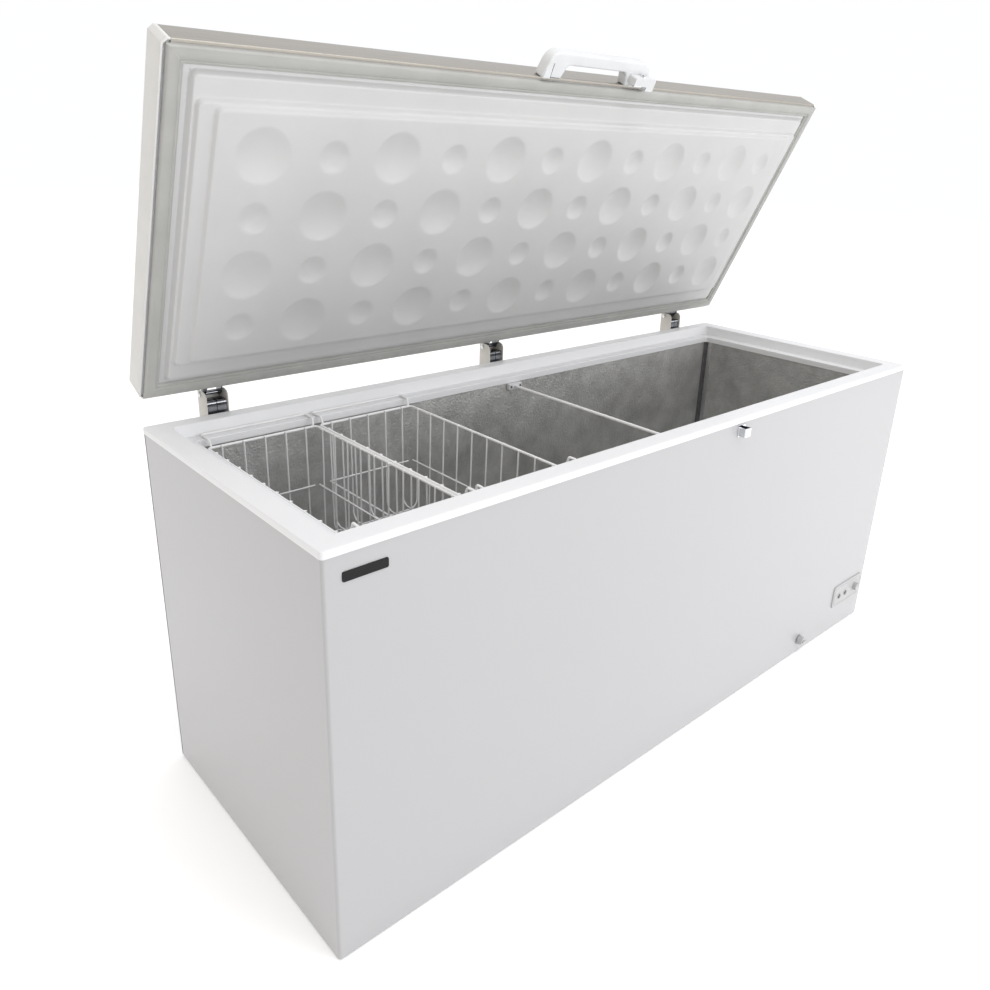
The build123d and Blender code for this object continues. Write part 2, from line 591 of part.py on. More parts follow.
LOCK_Z, HOUSING_LOW = 803.0, 790.0
with BuildPart() as housing:
    block(LOCK_X - 34, LOCK_X + 34, -378, -351, HOUSING_LOW, LZ - 9.1)
    fillet(housing.edges().filter_by(Axis.Z), 5)
    rod((LOCK_X, -380, LOCK_Z), (LOCK_X, -345, LOCK_Z), 15.4, mode=Mode.SUBTRACT)
    # slot for the tongue
    block(LOCK_X - 45, LOCK_X + 9, -360, -350, 780, LZ - 5, mode=Mode.SUBTRACT)
out(opened(housing.part), "lock_housing")

with BuildPart() as cylinder:
    rod((LOCK_X, -380, LOCK_Z), (LOCK_X, -360.2, LOCK_Z), 15)
    fillet(cylinder.edges().group_by(Axis.Y)[0], 1)
    rod((LOCK_X, -361, LOCK_Z), (LOCK_X, -354, LOCK_Z), 6)
    block(LOCK_X - 1, LOCK_X + 1, -382, -376, LOCK_Z - 5, LOCK_Z + 5, mode=Mode.SUBTRACT)
out(opened(cylinder.part), "lock_cylinder")

with BuildPart() as tongue:
    rod((LOCK_X, -359, LOCK_Z), (LOCK_X, -356, LOCK_Z), 13)
    block(LOCK_X - 25, LOCK_X, -359, -356, LOCK_Z - 5.5, LOCK_Z + 5.5)
    rod((LOCK_X, -363, LOCK_Z), (LOCK_X, -350, LOCK_Z), 6.1, mode=Mode.SUBTRACT)
out(opened(tongue.part), "lock_tongue")

# ================================================================ wire baskets
RING_Z, RING_Y, RING_D, RING_R, WIRE = 768.0, 262.5, 6.0, 10.0, 3.6
BOT = 520.0
HANG_D = 5.0


def ring_wire(x0, x1):
    with BuildLine(Plane.XY.offset(RING_Z)) as path:
        FilletPolyline((x0, -RING_Y), (x0, RING_Y), (x1, RING_Y), (x1, -RING_Y), radius=RING_R, close=True)
    with BuildSketch(Plane(origin=path.line @ 0, z_dir=path.line % 0)) as section:
        Circle(RING_D / 2)
    sweep(section.sketch, path=path.line)


def hanger(x0, x1, rear):
    """A wire loop from the ring's corners over the ledge; the front one has raised shoulders."""
    z = LEDGE + HANG_D / 2 + 0.25
    low = RING_Z + 2
    if rear:
        foot, over, end = (RING_Y - 0.2, low), (268, z), (302, z)
        half = [(8, *foot), (6, *over), (4, *end)]
    else:
        foot, rise, hump, seat = (-RING_Y + 0.2, low), (-272, 801), (-290, 801), (-294, z)
        half = [(8, *foot), (7, *rise), (6, *hump), (6, *seat)]
    left = [(x0 + inward, y, h) for inward, y, h in half]
    right = [(x1 - inward, y, h) for inward, y, h in reversed(half)]
    wire(left + right, HANG_D, 5.0)


def basket(x0, x1, name):
    inner = RING_D / 2 + WIRE / 2 + 0.05
    with BuildPart() as frame:
        ring_wire(x0, x1)
        hanger(x0, x1, True)
        hanger(x0, x1, False)
    out(frame.part, f"{name}_frame")
    xm = (x0 + x1) / 2
    yo = RING_Y - inner
    xo = (x1 - x0) / 2 - inner
    f = (RING_Z - 635.0) / (RING_Z - BOT)
    ym = yo - 3 * f - WIRE - 0.1
    xs = xo - 3 * f - WIRE - 0.1
    # long wires: down the rear, along the floor, up the front; and a straight
    # stiffening wire at half height along each wall
    with BuildPart() as longs:
        for i in range(5):
            x = xm + (i - 2) * 47.6
            wire([(x, yo, RING_Z + 2), (x, yo - 3, BOT), (x, -yo + 3, BOT), (x, -yo, RING_Z + 2)], WIRE, 22)
        for s in (-1, 1):
            rod((xm - 109, s * ym, 633), (xm + 109, s * ym, 633), WIRE)
            rod((xm + s * xs, -240, 638), (xm + s * xs, 240, 638), WIRE)
    out(longs.part, f"{name}_long_wires")
    # cross wires: down one side, under the long wires, up the other
    low = BOT - WIRE - 0.05
    with BuildPart() as cross:
        for i in range(10):
            y = (i - 4.5) * 50.4
            left = [(xm - xo, y, RING_Z + 2), (xm - xo + 3, y, low)]
            right = [(xm + xo - 3, y, low), (xm + xo, y, RING_Z + 2)]
            wire(left + right, WIRE, 22)
    out(cross.part, f"{name}_cross_wires")


basket(-855.0, -607.0, "basket_left")
basket(-598.5, -351.0, "basket_right")
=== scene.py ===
"""Looks of the chest freezer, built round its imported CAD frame. Lengths are in mm until a mesh is made."""
import json
import math

import bmesh
import bpy
from mathutils import Matrix, Vector


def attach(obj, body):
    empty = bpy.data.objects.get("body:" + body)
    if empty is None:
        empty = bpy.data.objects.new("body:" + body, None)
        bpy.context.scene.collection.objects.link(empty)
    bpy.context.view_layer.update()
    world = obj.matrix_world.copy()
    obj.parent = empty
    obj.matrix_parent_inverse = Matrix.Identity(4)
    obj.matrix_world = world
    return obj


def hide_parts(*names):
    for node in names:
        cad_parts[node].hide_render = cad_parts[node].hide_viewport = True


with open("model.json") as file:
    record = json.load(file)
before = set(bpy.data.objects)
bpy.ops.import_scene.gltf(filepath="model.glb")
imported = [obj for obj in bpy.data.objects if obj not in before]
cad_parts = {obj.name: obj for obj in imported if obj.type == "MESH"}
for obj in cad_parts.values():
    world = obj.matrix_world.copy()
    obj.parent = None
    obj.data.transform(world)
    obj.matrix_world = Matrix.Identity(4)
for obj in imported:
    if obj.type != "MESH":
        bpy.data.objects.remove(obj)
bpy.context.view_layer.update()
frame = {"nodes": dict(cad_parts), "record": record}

MM = 0.001

# ---------------------------------------------------------------- sizes shared with the CAD model
HINGE_Y, HINGE_Z = 382.0, 847.0
LID_OPEN = math.radians(65.4)
LF, LR = -349.6, 347.9            # lid front and rear faces when shut
LZ, TOP = 821.8, 875.8            # lid lower edge and top when shut
EX = 935.0                        # where the lid's end profiles start
LID_END = 950.0                   # half length over the end profiles
SEAL_X, SEAL_IN = 943.0, 7.0      # gasket: half length, inset from the lid's front and rear faces
BACK = 346.0                      # rear face of the cabinet
RIM_TOP, RIM_LOW, LIP = 810.4, 797.5, 767.0
HINGES = (("left", -788.0), ("mid", 0.0), ("right", 788.0))
LOCK_X, LOCK_Z = 126.0, 803.0
PANEL_FACE = -350.0
LAMPS, LAMP_Z = (798.0, 835.0), 111.0
KNOB_X, KNOB_Z = 893.0, 114.0
BASKETS = (("left", -855.0, -607.0), ("right", -598.5, -351.0))    # name, ends along the length


def opened(p):
    """A point of the shut lid, where it is with the lid as drawn."""
    x, y, z = p
    dy, dz = y - HINGE_Y, z - HINGE_Z
    c, s = math.cos(LID_OPEN), math.sin(LID_OPEN)
    return (x, HINGE_Y + dy * c + dz * s, HINGE_Z - dy * s + dz * c)


# ---------------------------------------------------------------- camera
CAMERA_PLACE = (-1.48833, -1.31899, 1.37721)                # metres
CAMERA_FORWARD = (0.63358643, 0.69126289, -0.34745338)
CAMERA_ROLL = math.radians(2.1185)
CAMERA_LENS, CAMERA_SENSOR = 30.627, 36.0
CAMERA_SHIFT = (-0.00978, -0.04418)


def make_camera():
    data = bpy.data.cameras.new("camera")
    data.sensor_width = CAMERA_SENSOR
    data.lens = CAMERA_LENS
    data.shift_x, data.shift_y = CAMERA_SHIFT
    data.clip_end = 100.0
    camera = bpy.data.objects.new("camera", data)
    aim = Vector(CAMERA_FORWARD).to_track_quat("-Z", "Y").to_matrix()
    turn = aim @ Matrix.Rotation(CAMERA_ROLL, 3, "Z")
    camera.matrix_world = Matrix.Translation(CAMERA_PLACE) @ turn.to_4x4()
    bpy.context.scene.collection.objects.link(camera)
    bpy.context.scene.camera = camera


# ---------------------------------------------------------------- materials
MIX_FIRST, MIX_SECOND, MIX_RESULT = 6, 7, 2       # a Mix node's colour sockets
IOR = 1.5


class Maker:
    """Builds one node material on the object's own coordinates, in metres."""

    def __init__(self, name, metallic=0.0, coat=0.0, coat_rough=0.1, anisotropic=0.0, specular=0.5):
        self.mat = bpy.data.materials.new(name)
        self.mat.use_nodes = True
        self.nodes = self.mat.node_tree.nodes
        self.links = self.mat.node_tree.links
        self.shader = self.nodes["Principled BSDF"]
        numbers = {"Metallic": metallic, "IOR": IOR, "Coat Weight": coat, "Coat Roughness": coat_rough,
                   "Anisotropic": anisotropic, "Specular IOR Level": specular}
        for socket, value in numbers.items():
            self.shader.inputs[socket].default_value = value
        self.place = self.nodes.new("ShaderNodeTexCoord").outputs["Object"]
        self.normal = None

    def stretched(self, stretch):
        mapping = self.nodes.new("ShaderNodeMapping")
        mapping.inputs["Scale"].default_value = stretch
        self.links.new(self.place, mapping.inputs["Vector"])
        return mapping.outputs["Vector"]

    def noise(self, scale, detail=3.0, rough=0.55, stretch=None):
        node = self.nodes.new("ShaderNodeTexNoise")
        node.inputs["Scale"].default_value = scale
        node.inputs["Detail"].default_value = detail
        node.inputs["Roughness"].default_value = rough
        self.links.new(self.stretched(stretch) if stretch else self.place, node.inputs["Vector"])
        return node.outputs["Fac"]

    def cells(self, scale):
        node = self.nodes.new("ShaderNodeTexVoronoi")
        node.feature = "SMOOTH_F1"
        node.inputs["Scale"].default_value = scale
        self.links.new(self.place, node.inputs["Vector"])
        return node.outputs["Distance"]

    def span(self, value, low, high, start=0.3, end=0.7):
        """value between start and end, spread over low to high."""
        node = self.nodes.new("ShaderNodeMapRange")
        numbers = {"From Min": start, "From Max": end, "To Min": low, "To Max": high}
        for socket, number in numbers.items():
            node.inputs[socket].default_value = number
        self.links.new(value, node.inputs["Value"])
        return node.outputs["Result"]

    def colour(self, first, second, by):
        """A colour from first to second, following a value from 0 to 1."""
        node = self.nodes.new("ShaderNodeMix")
        node.data_type = "RGBA"
        node.inputs[MIX_FIRST].default_value = (*first, 1.0)
        node.inputs[MIX_SECOND].default_value = (*second, 1.0)
        self.links.new(by, node.inputs[0])
        self.links.new(node.outputs[MIX_RESULT], self.shader.inputs["Base Color"])

    def rough(self, value):
        self.links.new(value, self.shader.inputs["Roughness"])

    def bump(self, height, depth):
        """Raises the surface by height, times depth in metres."""
        node = self.nodes.new("ShaderNodeBump")
        node.inputs["Strength"].default_value = 1.0
        node.inputs["Distance"].default_value = depth
        self.links.new(height, node.inputs["Height"])
        if self.normal:
            self.links.new(self.normal, node.inputs["Normal"])
        self.normal = node.outputs["Normal"]
        self.links.new(self.normal, self.shader.inputs["Normal"])


def plain(name, dark, light, rough, grain, mottle, **kind):
    """A finish with slow colour drift, uneven gloss and a fine grain."""
    m = Maker(name, **kind)
    m.colour(dark, light, m.span(m.noise(mottle, 4.0), 0.0, 1.0, 0.25, 0.75))
    m.rough(m.span(m.noise(mottle * 7.0, 5.0), *rough))
    for scale, depth in grain:
        m.bump(m.noise(scale, 2.0), depth)
    return m.mat


# key: name, darker colour, lighter colour,
#      roughness range, (grain scale, depth in metres) pairs, mottle scale, shader numbers
PLAIN_FINISHES = {
    "grey_sheet": ("zinc_grey_sheet", (0.40, 0.41, 0.42), (0.50, 0.51, 0.52),
        (0.38, 0.55), ((300.0, 0.0001),), 9.0, {"metallic": 0.55}),
    "seam": ("bright_seam", (0.55, 0.55, 0.56), (0.70, 0.70, 0.71),
        (0.25, 0.4), ((500.0, 0.00006),), 20.0, {"metallic": 1.0}),
    "rim": ("rim_plastic", (0.73, 0.735, 0.75), (0.77, 0.775, 0.79),
        (0.30, 0.46), ((900.0, 0.00004),), 3.0, {}),
    "liner": ("liner_plastic", (0.525, 0.525, 0.525), (0.56, 0.56, 0.56),
        (0.34, 0.5), ((700.0, 0.00004), (14.0, 0.0004)), 5.0, {}),
    "end": ("end_profile_plastic", (0.62, 0.615, 0.60), (0.68, 0.675, 0.66),
        (0.34, 0.5), ((800.0, 0.00004),), 4.0, {}),
    "gasket": ("gasket_vinyl", (0.345, 0.345, 0.33), (0.41, 0.41, 0.395),
        (0.42, 0.6), ((260.0, 0.00015), (30.0, 0.0004)), 12.0, {}),
    "white_part": ("moulded_white", (0.61, 0.62, 0.635), (0.67, 0.68, 0.69),
        (0.28, 0.42), ((1100.0, 0.00004),), 14.0, {}),
    "chrome": ("polished_chrome", (0.62, 0.63, 0.65), (0.72, 0.73, 0.75),
        (0.05, 0.16), ((60.0, 0.00005),), 30.0, {"metallic": 1.0}),
    # slider and arm inside each hinge channel: chrome, with the channel's shade painted into it as this dark
    # colour
    "chrome_in_painted_shade": ("chrome_painted_shade", (0.16, 0.17, 0.18), (0.30, 0.31, 0.33),
        (0.06, 0.2), ((60.0, 0.00006),), 30.0, {"metallic": 1.0}),
    "spring": ("oiled_spring_steel", (0.10, 0.10, 0.10), (0.26, 0.25, 0.24),
        (0.25, 0.5), ((600.0, 0.0001),), 60.0, {"metallic": 0.9}),
    "wire": ("coated_wire", (0.76, 0.76, 0.77), (0.84, 0.84, 0.84),
        (0.28, 0.45), ((260.0, 0.00016),), 30.0, {}),
    "black_gloss": ("black_gloss_plastic", (0.002, 0.002, 0.002), (0.005, 0.005, 0.006),
        (0.35, 0.5), ((500.0, 0.00003),), 40.0, {"specular": 0.25}),
    "lens": ("lamp_lens", (0.004, 0.004, 0.005), (0.012, 0.012, 0.015),
        (0.04, 0.12), ((200.0, 0.00003),), 90.0, {"coat": 0.6}),
    "black_steel": ("black_enamel", (0.008, 0.008, 0.009), (0.025, 0.025, 0.026),
        (0.22, 0.4), ((140.0, 0.0002),), 18.0, {}),
    "rubber": ("black_rubber", (0.014, 0.014, 0.014), (0.035, 0.034, 0.033),
        (0.6, 0.85), ((700.0, 0.0001),), 60.0, {}),
    "grey_plastic": ("grey_plastic", (0.08, 0.085, 0.09), (0.12, 0.125, 0.13),
        (0.45, 0.6), ((900.0, 0.00006),), 30.0, {}),
    "copper": ("copper_tube", (0.42, 0.20, 0.11), (0.70, 0.36, 0.22),
        (0.2, 0.45), ((300.0, 0.00008),), 25.0, {"metallic": 1.0}),
    "tube": ("drawn_aluminium", (0.50, 0.50, 0.51), (0.62, 0.62, 0.63),
        (0.3, 0.45), ((300.0, 0.00008),), 25.0, {"metallic": 0.95}),
    # foam: this pale bluish grey is painted shade, matching the shaded recess between the lid's end profiles
    # and the gasket, where the foam shows
    "foam": ("foam", (0.56, 0.57, 0.59), (0.64, 0.65, 0.67),
        (0.8, 0.95), ((220.0, 0.0008),), 40.0, {}),
    "weld_line": ("gasket_weld", (0.36, 0.36, 0.33), (0.48, 0.47, 0.44),
        (0.5, 0.7), ((300.0, 0.0001),), 50.0, {}),
    "panel": ("panel_plastic", (0.43, 0.43, 0.435), (0.455, 0.455, 0.46),
        (0.3, 0.42), ((1000.0, 0.00004),), 20.0, {}),
    "shadow_gap": ("shadow_gap", (0.02, 0.02, 0.02), (0.05, 0.05, 0.05),
        (0.6, 0.8), ((300.0, 0.0001),), 50.0, {}),
    # hinge channels: white paint, and this warm beige is painted shade, the cast their side faces take in the
    # warm side light
    "hinge_white_painted_shade": ("hinge_white_painted_shade", (0.60, 0.58, 0.54), (0.68, 0.665, 0.63),
        (0.3, 0.45), ((300.0, 0.0001),), 20.0, {}),
    # dark bead in the tank's corners: painted shade where each corner falls dark beside its cover strip
    "corner_shade": ("painted_corner_shade", (0.055, 0.055, 0.06), (0.11, 0.11, 0.115),
        (0.5, 0.75), ((200.0, 0.0004),), 40.0, {}),
    "print_grey": ("printed_grey", (0.20, 0.21, 0.23), (0.27, 0.28, 0.30),
        (0.4, 0.6), ((500.0, 0.00003),), 60.0, {}),
}


def make_materials():
    mats = {key: plain(*row, **kind) for key, (*row, kind) in PLAIN_FINISHES.items()}
    # powder paint: even, with a faint orange peel
    paint = Maker("paint_white", coat=0.25, coat_rough=0.08)
    paint.colour((0.427, 0.427, 0.438), (0.433, 0.433, 0.444), paint.noise(1.5, 2.0))
    paint.rough(paint.span(paint.noise(2.0, 2.0), 0.26, 0.32, 0.0, 1.0))
    paint.bump(paint.noise(150.0, 1.0), 0.00008)
    mats["paint"] = paint.mat
    # tank: stucco-embossed aluminium, mottled
    tank = Maker("stucco_aluminium", metallic=0.6)
    slow = tank.noise(11.0, 6.0, 0.65)
    tank.colour((0.40, 0.40, 0.395), (0.68, 0.68, 0.67), tank.span(slow, 0.0, 1.0, 0.28, 0.72))
    tank.rough(tank.span(tank.noise(60.0, 4.0), 0.32, 0.52))
    tank.bump(tank.cells(190.0), 0.0009)
    tank.bump(tank.noise(420.0, 2.0), 0.0003)
    mats["tank"] = tank.mat
    # brushed stainless: grain along the lid's length
    steel = Maker("brushed_stainless", metallic=1.0, anisotropic=0.5)
    streaks = steel.noise(6.0, 6.0, 0.7, (0.6, 260.0, 260.0))
    steel.colour((0.33, 0.31, 0.275), (0.45, 0.425, 0.385), steel.span(streaks, 0.0, 1.0))
    steel.rough(steel.span(steel.noise(5.0, 5.0, 0.6, (1.0, 180.0, 180.0)), 0.24, 0.42))
    steel.bump(steel.noise(7.0, 4.0, 0.7, (0.5, 330.0, 330.0)), 0.00006)
    mats["stainless"] = steel.mat
    return mats


# CAD material slot: finish
NODE_FINISH = {
    "white_sheet": "paint", "grey_sheet": "grey_sheet", "tank_aluminium": "tank", "foam": "foam",
    "white_plastic": "white_part", "grey_plastic": "grey_plastic", "black_plastic": "black_gloss",
    "lamp_dark": "lens", "black_steel": "black_steel", "rubber_black": "rubber", "gasket_white": "gasket",
    "tube_metal": "tube", "copper": "copper", "chrome": "chrome", "stainless": "stainless",
    "spring_steel": "spring", "coated_wire": "wire",
}


def dress_cad_nodes(mats):
    """Every CAD node takes the finish of its slot, and a few take a nearer one."""
    nearer = {"rim": "rim", "lid_liner": "liner", "lid_end_left": "end", "lid_end_right": "end",
              "control_panel": "panel", "drain_cap": "panel", "thermostat_knob": "panel"}
    for side, _ in HINGES:
        # the slider and arm take chrome with painted shade, as they sit in the channel's shadow
        nearer[f"hinge_cap_{side}"] = "chrome_in_painted_shade"
        nearer[f"hinge_arm_{side}"] = "chrome_in_painted_shade"
    for part in frame["record"]["subparts"]:
        node = part["node"]
        obj = frame["nodes"][node]
        finish = mats[nearer.get(node, NODE_FINISH[part["material_slot"]])]
        if not obj.material_slots:
            obj.data.materials.append(finish)
        for held in obj.material_slots:
            held.material = finish


# ---------------------------------------------------------------- mesh helpers, in millimetres
BEVEL_ANGLE = math.radians(28)
WELD_DIST = 1e-6


def piece(name, solid, finish, body, stands_for=(), lid=False, smooth=35.0, bevel=None):
    """One closed mesh in place, riding on its body. Lid pieces are given shut and turned open here."""
    points = solid.points
    if lid:
        points = [opened(p) for p in points]
    data = bpy.data.meshes.new(name)
    data.from_pydata([[c * MM for c in p] for p in points], [], solid.faces)
    work = bmesh.new()
    work.from_mesh(data)
    bmesh.ops.remove_doubles(work, verts=work.verts, dist=WELD_DIST)
    bmesh.ops.recalc_face_normals(work, faces=work.faces)
    if bevel:
        width, segments = bevel
        sharp = [e for e in work.edges if len(e.link_faces) == 2 and e.calc_face_angle() > BEVEL_ANGLE]
        bmesh.ops.bevel(work, geom=sharp, offset=width * MM, segments=segments, profile=0.6,
                        affect="EDGES", clamp_overlap=True)
    work.to_mesh(data)
    work.free()
    data.shade_smooth()
    data.set_sharp_from_angle(angle=math.radians(smooth))
    data.materials.append(MATS[finish])
    obj = bpy.data.objects.new(name, data)
    bpy.context.scene.collection.objects.link(obj)
    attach(obj, body)
    if stands_for:
        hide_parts(*stands_for)


class Solid:
    """Collects points and faces of one piece."""

    def __init__(self):
        self.points, self.faces = [], []

    def add(self, points, faces):
        base = len(self.points)
        self.points += [tuple(p) for p in points]
        self.faces += [tuple(base + i for i in face) for face in faces]

    def box(self, x0, x1, y0, y1, z0, z1):
        points = [(x, y, z) for x in (x0, x1) for y in (y0, y1) for z in (z0, z1)]
        self.add(points, [(0, 1, 3, 2), (4, 6, 7, 5), (0, 4, 5, 1), (2, 3, 7, 6), (0, 2, 6, 4), (1, 5, 7, 3)])

    def prism(self, outline, low, high, place):
        """An outline of (a, b) pairs between two heights; place(a, b, h) gives the point."""
        n = len(outline)
        points = [place(a, b, h) for h in (low, high) for a, b in outline]
        faces = [tuple(range(n)), tuple(range(2 * n - 1, n - 1, -1))]
        faces += [(i, (i + 1) % n, n + (i + 1) % n, n + i) for i in range(n)]
        self.add(points, faces)

    def strip(self, outer, inner, low, high, place, closed=True):
        """The band between two outlines of equal length, between two heights."""
        n = len(outer)
        points = [place(a, b, h) for h in (low, high) for line in (outer, inner) for a, b in line]
        o0, i0, o1, i1 = 0, n, 2 * n, 3 * n
        faces = []
        for k in range(n if closed else n - 1):
            m = (k + 1) % n
            faces += [(o0 + k, o0 + m, o1 + m, o1 + k), (i0 + k, i1 + k, i1 + m, i0 + m),
                      (o1 + k, o1 + m, i1 + m, i1 + k), (o0 + k, i0 + k, i0 + m, o0 + m)]
        if not closed:
            faces += [(o0, o1, i1, i0), (o0 + n - 1, i0 + n - 1, i1 + n - 1, o1 + n - 1)]
        self.add(points, faces)

    def loft(self, rings, ends=None):
        """Joins rings of equal length; ends is "loop" to join last to first, or "caps"."""
        n = len(rings[0])
        points = [p for ring in rings for p in ring]
        faces = []
        for i in range(len(rings) if ends == "loop" else len(rings) - 1):
            a, b = i * n, (i + 1) % len(rings) * n
            faces += [(a + k, a + (k + 1) % n, b + (k + 1) % n, b + k) for k in range(n)]
        if ends == "caps":
            last = (len(rings) - 1) * n
            faces += [tuple(range(n)), tuple(range(last + n - 1, last - 1, -1))]
        self.add(points, faces)

    def turned(self, centre, axis, profile, sides=32):
        """A round part: profile is (radius, distance along axis) pairs, closed at both ends."""
        axis = Vector(axis).normalized()
        side = axis.orthogonal().normalized()
        other = axis.cross(side)
        rings = []
        turns = [math.tau * k / sides for k in range(sides)]
        for radius, along in profile:
            middle = Vector(centre) + axis * along
            rings.append([middle + (side * math.cos(t) + other * math.sin(t)) * radius for t in turns])
        self.loft(rings, "caps")


def rounded(x0, x1, y0, y1, r, steps=6):
    """Corner-rounded rectangle as (a, b) pairs."""
    if r <= 0:
        return [(x1, y1), (x0, y1), (x0, y0), (x1, y0)]
    pairs = []
    centres = ((x1 - r, y1 - r, 0), (x0 + r, y1 - r, 90), (x0 + r, y0 + r, 180), (x1 - r, y0 + r, 270))
    for cx, cy, start in centres:
        for k in range(steps + 1):
            turn = math.radians(start + 90 * k / steps)
            pairs.append((cx + r * math.cos(turn), cy + r * math.sin(turn)))
    return pairs


def soften(corners, steps=5):
    """A profile with rounded corners from (a, b, reach) triples; reach is the rounding's length each way."""
    line = []
    for i, (a, b, reach) in enumerate(corners):
        here = Vector((a, b))
        if reach <= 0 or i in (0, len(corners) - 1):
            line.append((a, b))
            continue
        before = here + (Vector(corners[i - 1][:2]) - here).normalized() * reach
        after = here + (Vector(corners[i + 1][:2]) - here).normalized() * reach
        for k in range(steps + 1):
            t = k / steps
            spot = before * (1 - t) ** 2 + here * 2 * t * (1 - t) + after * t ** 2
            line.append((spot.x, spot.y))
    return line


def circle(x, z, radius, sides=40):
    """A circle as (a, b) pairs."""
    turns = [math.tau * k / sides for k in range(sides)]
    return [(x + radius * math.cos(t), z + radius * math.sin(t)) for t in turns]


def flat_xy(a, b, h):
    """An outline drawn on the floor plan, h upwards."""
    return (a, b, h)


def front_xz(a, b, h):
    """An outline drawn on the front, h in depth."""
    return (a, h, b)


def end_yz(a, b, h):
    """An outline drawn on the end, h along the length."""
    return (h, a, b)


# ---------------------------------------------------------------- rim moulding
def make_rim():
    """One moulding: outer flat, steep wall, groove, basket ledge, lip."""
    # rectangles with a corner radius, and (growth, height, rounding) down each one's section
    outer, throat, inner = (-950, 950, -348, 348, 7), (-905, 905, -303, 312, 9), (-870, 870, -280, 280, 12)
    ledge, under, groove = 783.2, 780.6, 782.6
    turns = (
        (outer, ((0, RIM_LOW, 0), (0, RIM_TOP, 2.6), (-15, RIM_TOP, 0))),
        (throat, ((8, RIM_TOP, 0), (0, RIM_TOP, 2.2), (-3.7, 784.8, 0.6), (-4.6, 784.8, 0.5),
                  (-4.6, groove, 0.4), (-6.4, groove, 0.4), (-6.4, 783.4, 0.4), (-9.0, 783.4, 0))),
        (inner, ((8, ledge, 0), (0, ledge, 2.4), (0, LIP, 0), (2.5, LIP, 0), (2.5, under, 0),
                 (14, under, 0))),
        (throat, ((4, under, 0), (6, 796.0, 0))),
        (outer, ((-8, 800.0, 0), (-2, 806.0, 0), (-2, RIM_LOW, 0))),
    )
    rings = []
    for (x0, x1, y0, y1, r), corners in turns:
        for grow, z in soften(corners):
            pairs = rounded(x0 - grow, x1 + grow, y0 - grow, y1 + grow, max(1.0, r + grow * 0.4))
            rings.append([(a, b, z) for a, b in pairs])
    rim = Solid()
    rim.loft(rings, "loop")
    piece("rim_moulding", rim, "rim", "cabinet", ("rim",), smooth=50)


# ---------------------------------------------------------------- lid
# steps of the liner: outline, bevel width, drop
LEVELS = (
    ((-906.0, 906.0, -309.0, 307.0), 8.0, 10.0),
    ((-896.0, 896.0, -268.0, 266.0), 6.0, 8.0),
    ((-866.0, 866.0, -259.5, 257.5), 6.0, 7.0),
)
STEP_CORNER = 14.0
PITCH_X, PITCH_Y, FIRST_ROW = 140.6, 119.0, 168.0
BIG, SMALL = (104.0, 9.0), (62.0, 6.0)                      # width and depth of a hollow
SOFT_RIM = 0.3                                              # rounding of a hollow's edge
HOLLOW_MARGIN = 6.0                                         # how far past its edge a hollow is worked out
COARSE, FINE = 4.0, 0.9                                     # grid spacing on the flats and on the bevels
LINER_T = 2.0                                               # sheet thickness at its border


def hollow_list():
    """Centre, width and depth of each round hollow."""
    for j in range(4):
        for i in range(12):
            width, depth = BIG if (i + j) % 2 else SMALL
            yield (i - 5.5) * PITCH_X, LR - FIRST_ROW - j * PITCH_Y, width, depth


def ramp(t, ease=0.18):
    """0 to 1 along a bevel, with eased ends."""
    t = min(1.0, max(0.0, t))
    slope = 1 / (1 - ease)
    if t < ease:
        return slope * t * t / (2 * ease)
    if t > 1 - ease:
        return 1 - slope * (1 - t) ** 2 / (2 * ease)
    return slope * (t - ease / 2)


def liner_drop(x, y, hollows):
    """How far the liner stands below the lid's lower edge."""
    drop = 0.0
    for (x0, x1, y0, y1), width, fall in LEVELS:
        dx, dy = min(x - x0, x1 - x), min(y - y0, y1 - y)
        inside = min(dx, dy)
        if dx < STEP_CORNER and dy < STEP_CORNER:
            inside = STEP_CORNER - math.hypot(STEP_CORNER - dx, STEP_CORNER - dy)
        drop += fall * ramp(inside / width)
    for cx, cy, width, depth in hollows:
        reach = math.hypot(x - cx, y - cy)
        if reach < width / 2 + HOLLOW_MARGIN:
            radius = (width * width / 4 + depth * depth) / (2 * depth)
            cap = math.sqrt(max(0.0, radius * radius - reach * reach)) - (radius - depth)
            drop -= (cap + math.sqrt(cap * cap + SOFT_RIM ** 2)) / 2
    return drop


def grid_lines(low, high, edges):
    """Positions from low to high, close together over each (start, end) stretch."""
    spots = {round(low, 3), round(high, 3)}
    for start, end in edges:
        n = max(2, round((end - start) / FINE))
        spots |= {round(start + (end - start) * k / n, 3) for k in range(n + 1)}
    spots = sorted(spots)
    full = []
    for a, b in zip(spots, spots[1:]):
        n = max(1, round((b - a) / COARSE))
        full += [a + (b - a) * k / n for k in range(n)]
    return full + [high]


